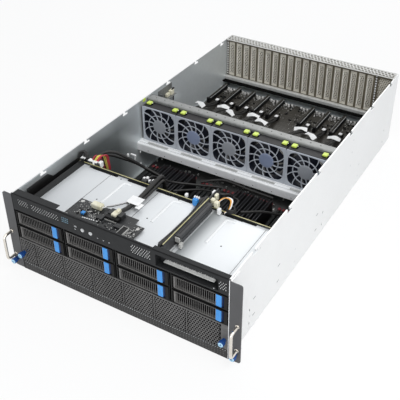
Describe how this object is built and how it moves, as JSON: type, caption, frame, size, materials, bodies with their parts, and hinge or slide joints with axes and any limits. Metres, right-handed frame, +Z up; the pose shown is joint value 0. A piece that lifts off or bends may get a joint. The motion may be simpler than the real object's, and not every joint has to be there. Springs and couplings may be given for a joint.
{
  "type": "rack server",
  "caption": "Rack-mount accelerator server, open on top: hot-swap drive bays in front, a wall of cooling fans across the middle and a bay for long cards behind.",
  "frame": {"origin": "centre of the base plate's underside", "axes": "+X to the right seen from the front, +Y from the front to the rear, +Z up"},
  "size_m": [0.4826, 0.8534, 0.1745],
  "materials": {
    "galvanised_steel": "satin zinc-plated sheet",
    "cover_steel": "perforated plated sheet",
    "charcoal_paint": "fine matte black powder coat",
    "bright_bar": "brushed",
    "black_board": "solder-masked laminate",
    "green_board": "solder-masked laminate",
    "finned_aluminium": "extruded",
    "black_plastic": "moulded",
    "blue_plastic": "moulded, bright blue",
    "fan_grey": "moulded, grey-blue",
    "cable_black": "woven sleeve",
    "supply_steel": "plated case",
    "button_grey": "moulded"
  },
  "bodies": {
    "chassis": {"chassis_tray": "galvanised_steel", "rear_panel": "galvanised_steel", "slot_covers": "cover_steel", "front_bezel": "charcoal_paint", "front_grille": "charcoal_paint", "rack_ears": "charcoal_paint", "handles": "bright_bar", "drive_cage": "galvanised_steel", "backplane": "green_board", "control_board": "black_board", "riser_card": "black_board", "fan_cage": "galvanised_steel", "main_board": "black_board", "coolers": "finned_aluminium", "switch_board": "black_board", "cables": "cable_black"},
    "caddy_1": {"drive_caddy_1": "charcoal_paint"},
    "lever_1": {"caddy_lever_1": "black_plastic"},
    "latch_1": {"caddy_latch_1": "blue_plastic"},
    "caddy_2": {"drive_caddy_2": "charcoal_paint"},
    "lever_2": {"caddy_lever_2": "black_plastic"},
    "latch_2": {"caddy_latch_2": "blue_plastic"},
    "caddy_3": {"drive_caddy_3": "charcoal_paint"},
    "lever_3": {"caddy_lever_3": "black_plastic"},
    "latch_3": {"caddy_latch_3": "blue_plastic"},
    "caddy_4": {"drive_caddy_4": "charcoal_paint"},
    "lever_4": {"caddy_lever_4": "black_plastic"},
    "latch_4": {"caddy_latch_4": "blue_plastic"},
    "caddy_5": {"drive_caddy_5": "charcoal_paint"},
    "lever_5": {"caddy_lever_5": "black_plastic"},
    "latch_5": {"caddy_latch_5": "blue_plastic"},
    "caddy_6": {"drive_caddy_6": "charcoal_paint"},
    "lever_6": {"caddy_lever_6": "black_plastic"},
    "latch_6": {"caddy_latch_6": "blue_plastic"},
    "caddy_7": {"drive_caddy_7": "charcoal_paint"},
    "lever_7": {"caddy_lever_7": "black_plastic"},
    "latch_7": {"caddy_latch_7": "blue_plastic"},
    "caddy_8": {"drive_caddy_8": "charcoal_paint"},
    "lever_8": {"caddy_lever_8": "black_plastic"},
    "latch_8": {"caddy_latch_8": "blue_plastic"},
    "fan_1": {"fan_module_1": "fan_grey"},
    "rotor_1": {"fan_rotor_1": "black_plastic"},
    "fan_2": {"fan_module_2": "fan_grey"},
    "rotor_2": {"fan_rotor_2": "black_plastic"},
    "fan_3": {"fan_module_3": "fan_grey"},
    "rotor_3": {"fan_rotor_3": "black_plastic"},
    "fan_4": {"fan_module_4": "fan_grey"},
    "rotor_4": {"fan_rotor_4": "black_plastic"},
    "fan_5": {"fan_module_5": "fan_grey"},
    "rotor_5": {"fan_rotor_5": "black_plastic"},
    "supply_1": {"power_supply_1": "supply_steel"},
    "supply_2": {"power_supply_2": "supply_steel"},
    "supply_3": {"power_supply_3": "supply_steel"},
    "supply_4": {"power_supply_4": "supply_steel"},
    "ear_knob_left": {"ear_screw_left": "blue_plastic"},
    "grille_knob_left": {"grille_screw_left": "blue_plastic"},
    "ear_knob_right": {"ear_screw_right": "blue_plastic"},
    "grille_knob_right": {"grille_screw_right": "blue_plastic"},
    "power_button": {"button_power": "button_grey"},
    "locate_button": {"button_locate": "button_grey"}
  },
  "joints": [
    {"name": "caddy_1_slide", "type": "slide", "parent": "chassis", "child": "caddy_1", "axis": [0, -1, 0], "range_m": [0, 0.16]},
    {"name": "lever_1_swing", "type": "hinge", "parent": "caddy_1", "child": "lever_1", "pos_m": [-0.21125, -0.3965, 0.1225], "axis": [0, 0, -1], "range_deg": [0, 55]},
    {"name": "latch_1_press", "type": "slide", "parent": "caddy_1", "child": "latch_1", "axis": [0, 1, 0], "range_m": [0, 0.002], "stiffness_N_per_m": 400, "springref_m": -0.001},
    {"name": "caddy_2_slide", "type": "slide", "parent": "chassis", "child": "caddy_2", "axis": [0, -1, 0], "range_m": [0, 0.16]},
    {"name": "lever_2_swing", "type": "hinge", "parent": "caddy_2", "child": "lever_2", "pos_m": [-0.10155, -0.3965, 0.1225], "axis": [0, 0, -1], "range_deg": [0, 55]},
    {"name": "latch_2_press", "type": "slide", "parent": "caddy_2", "child": "latch_2", "axis": [0, 1, 0], "range_m": [0, 0.002], "stiffness_N_per_m": 400, "springref_m": -0.001},
    {"name": "caddy_3_slide", "type": "slide", "parent": "chassis", "child": "caddy_3", "axis": [0, -1, 0], "range_m": [0, 0.16]},
    {"name": "lever_3_swing", "type": "hinge", "parent": "caddy_3", "child": "lever_3", "pos_m": [0.00815, -0.3965, 0.1225], "axis": [0, 0, -1], "range_deg": [0, 55]},
    {"name": "latch_3_press", "type": "slide", "parent": "caddy_3", "child": "latch_3", "axis": [0, 1, 0], "range_m": [0, 0.002], "stiffness_N_per_m": 400, "springref_m": -0.001},
    {"name": "caddy_4_slide", "type": "slide", "parent": "chassis", "child": "caddy_4", "axis": [0, -1, 0], "range_m": [0, 0.16]},
    {"name": "lever_4_swing", "type": "hinge", "parent": "caddy_4", "child": "lever_4", "pos_m": [0.11785, -0.3965, 0.1225], "axis": [0, 0, -1], "range_deg": [0, 55]},
    {"name": "latch_4_press", "type": "slide", "parent": "caddy_4", "child": "latch_4", "axis": [0, 1, 0], "range_m": [0, 0.002], "stiffness_N_per_m": 400, "springref_m": -0.001},
    {"name": "caddy_5_slide", "type": "slide", "parent": "chassis", "child": "caddy_5", "axis": [0, -1, 0], "range_m": [0, 0.16]},
    {"name": "lever_5_swing", "type": "hinge", "parent": "caddy_5", "child": "lever_5", "pos_m": [-0.21125, -0.3965, 0.0905], "axis": [0, 0, -1], "range_deg": [0, 55]},
    {"name": "latch_5_press", "type": "slide", "parent": "caddy_5", "child": "latch_5", "axis": [0, 1, 0], "range_m": [0, 0.002], "stiffness_N_per_m": 400, "springref_m": -0.001},
    {"name": "caddy_6_slide", "type": "slide", "parent": "chassis", "child": "caddy_6", "axis": [0, -1, 0], "range_m": [0, 0.16]},
    {"name": "lever_6_swing", "type": "hinge", "parent": "caddy_6", "child": "lever_6", "pos_m": [-0.10155, -0.3965, 0.0905], "axis": [0, 0, -1], "range_deg": [0, 55]},
    {"name": "latch_6_press", "type": "slide", "parent": "caddy_6", "child": "latch_6", "axis": [0, 1, 0], "range_m": [0, 0.002], "stiffness_N_per_m": 400, "springref_m": -0.001},
    {"name": "caddy_7_slide", "type": "slide", "parent": "chassis", "child": "caddy_7", "axis": [0, -1, 0], "range_m": [0, 0.16]},
    {"name": "lever_7_swing", "type": "hinge", "parent": "caddy_7", "child": "lever_7", "pos_m": [0.00815, -0.3965, 0.0905], "axis": [0, 0, -1], "range_deg": [0, 55]},
    {"name": "latch_7_press", "type": "slide", "parent": "caddy_7", "child": "latch_7", "axis": [0, 1, 0], "range_m": [0, 0.002], "stiffness_N_per_m": 400, "springref_m": -0.001},
    {"name": "caddy_8_slide", "type": "slide", "parent": "chassis", "child": "caddy_8", "axis": [0, -1, 0], "range_m": [0, 0.16]},
    {"name": "lever_8_swing", "type": "hinge", "parent": "caddy_8", "child": "lever_8", "pos_m": [0.11785, -0.3965, 0.0905], "axis": [0, 0, -1], "range_deg": [0, 55]},
    {"name": "latch_8_press", "type": "slide", "parent": "caddy_8", "child": "latch_8", "axis": [0, 1, 0], "range_m": [0, 0.002], "stiffness_N_per_m": 400, "springref_m": -0.001},
    {"name": "fan_1_lift", "type": "slide", "parent": "chassis", "child": "fan_1", "axis": [0, 0, 1], "range_m": [0, 0.09]},
    {"name": "rotor_1_spin", "type": "hinge", "parent": "fan_1", "child": "rotor_1", "pos_m": [-0.1714, 0.0035, 0.1221], "axis": [0, 1, 0], "continuous": true},
    {"name": "fan_2_lift", "type": "slide", "parent": "chassis", "child": "fan_2", "axis": [0, 0, 1], "range_m": [0, 0.09]},
    {"name": "rotor_2_spin", "type": "hinge", "parent": "fan_2", "child": "rotor_2", "pos_m": [-0.0857, 0.0035, 0.1221], "axis": [0, 1, 0], "continuous": true},
    {"name": "fan_3_lift", "type": "slide", "parent": "chassis", "child": "fan_3", "axis": [0, 0, 1], "range_m": [0, 0.09]},
    {"name": "rotor_3_spin", "type": "hinge", "parent": "fan_3", "child": "rotor_3", "pos_m": [0, 0.0035, 0.1221], "axis": [0, 1, 0], "continuous": true},
    {"name": "fan_4_lift", "type": "slide", "parent": "chassis", "child": "fan_4", "axis": [0, 0, 1], "range_m": [0, 0.09]},
    {"name": "rotor_4_spin", "type": "hinge", "parent": "fan_4", "child": "rotor_4", "pos_m": [0.0857, 0.0035, 0.1221], "axis": [0, 1, 0], "continuous": true},
    {"name": "fan_5_lift", "type": "slide", "parent": "chassis", "child": "fan_5", "axis": [0, 0, 1], "range_m": [0, 0.09]},
    {"name": "rotor_5_spin", "type": "hinge", "parent": "fan_5", "child": "rotor_5", "pos_m": [0.1714, 0.0035, 0.1221], "axis": [0, 1, 0], "continuous": true},
    {"name": "supply_1_slide", "type": "slide", "parent": "chassis", "child": "supply_1", "axis": [0, 1, 0], "range_m": [0, 0.18]},
    {"name": "supply_2_slide", "type": "slide", "parent": "chassis", "child": "supply_2", "axis": [0, 1, 0], "range_m": [0, 0.18]},
    {"name": "supply_3_slide", "type": "slide", "parent": "chassis", "child": "supply_3", "axis": [0, 1, 0], "range_m": [0, 0.18]},
    {"name": "supply_4_slide", "type": "slide", "parent": "chassis", "child": "supply_4", "axis": [0, 1, 0], "range_m": [0, 0.18]},
    {"name": "ear_screw_left_turn", "type": "hinge", "parent": "chassis", "child": "ear_knob_left", "pos_m": [-0.23255, -0.405, 0.02], "axis": [0, 1, 0], "continuous": true},
    {"name": "grille_screw_left_turn", "type": "hinge", "parent": "chassis", "child": "grille_knob_left", "pos_m": [-0.212, -0.405, 0.042], "axis": [0, 1, 0], "continuous": true},
    {"name": "ear_screw_right_turn", "type": "hinge", "parent": "chassis", "child": "ear_knob_right", "pos_m": [0.23255, -0.405, 0.02], "axis": [0, 1, 0], "continuous": true},
    {"name": "grille_screw_right_turn", "type": "hinge", "parent": "chassis", "child": "grille_knob_right", "pos_m": [0.212, -0.405, 0.042], "axis": [0, 1, 0], "continuous": true},
    {"name": "button_power_press", "type": "slide", "parent": "chassis", "child": "power_button", "axis": [0, 1, 0], "range_m": [0, 0.0008], "stiffness_N_per_m": 300, "springref_m": -0.0005},
    {"name": "button_locate_press", "type": "slide", "parent": "chassis", "child": "locate_button", "axis": [0, 1, 0], "range_m": [0, 0.0008], "stiffness_N_per_m": 300, "springref_m": -0.0005}
  ]
}
